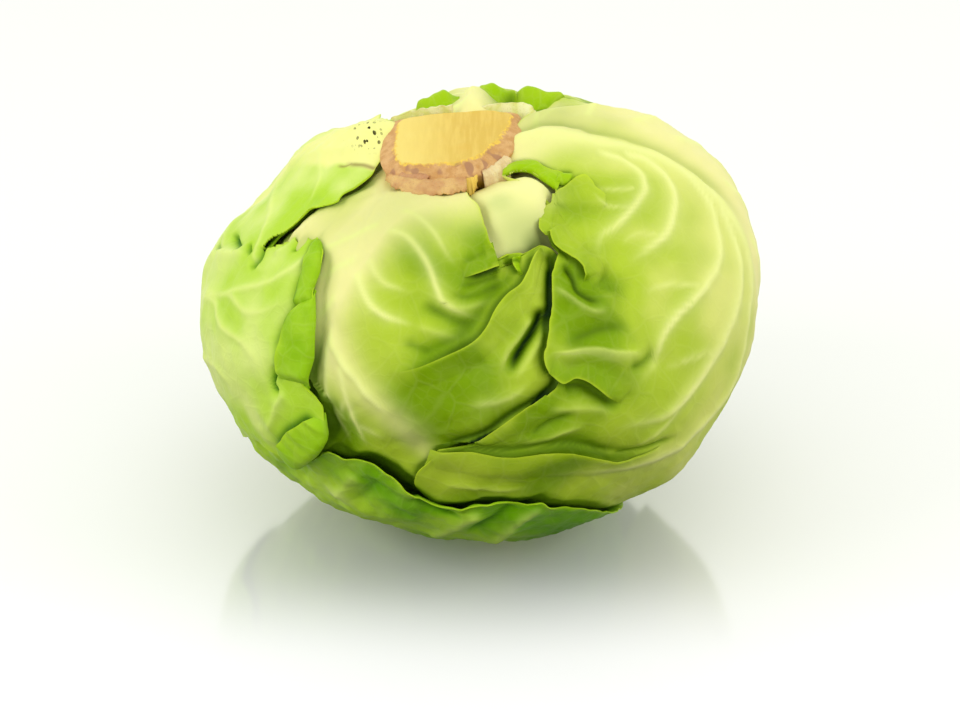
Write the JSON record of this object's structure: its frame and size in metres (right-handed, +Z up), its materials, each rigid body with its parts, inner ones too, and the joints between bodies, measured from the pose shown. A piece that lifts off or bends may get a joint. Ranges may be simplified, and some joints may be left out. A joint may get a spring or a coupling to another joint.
{
  "type": "cabbage head",
  "caption": "Trimmed head of white cabbage, cut stem upwards, with loose wrapper leaves round a tight heart and a small flat resting spot.",
  "frame": {"origin": "middle of the head's box, on the surface it rests on", "axes": "+Z up through the cut stem, -Y the side with the loose leaf margins, +X to the right seen from there"},
  "size_m": [0.1604, 0.1552, 0.1175],
  "materials": {
    "heart_leaf": "smooth, slightly waxy cream yellow inner leaf",
    "pale_leaf": "waxy pale green leaf with whitish veins",
    "green_leaf": "waxy mid green outer leaf with pale veins",
    "stem_cut": "dry cut stem, tan pith with a pinkish brown rind",
    "leaf_stub": "dry torn base of a trimmed leaf"
  },
  "bodies": {
    "root": {"heart": "heart_leaf", "leaf_back": "pale_leaf", "leaf_front": "pale_leaf", "leaf_right": "pale_leaf", "leaf_under": "green_leaf", "leaf_left": "green_leaf", "stem": "stem_cut", "leaf_stub_front": "leaf_stub", "leaf_stub_right": "leaf_stub", "leaf_stub_back_right": "leaf_stub", "leaf_stub_back_left": "leaf_stub"}
  },
  "joints": []
}
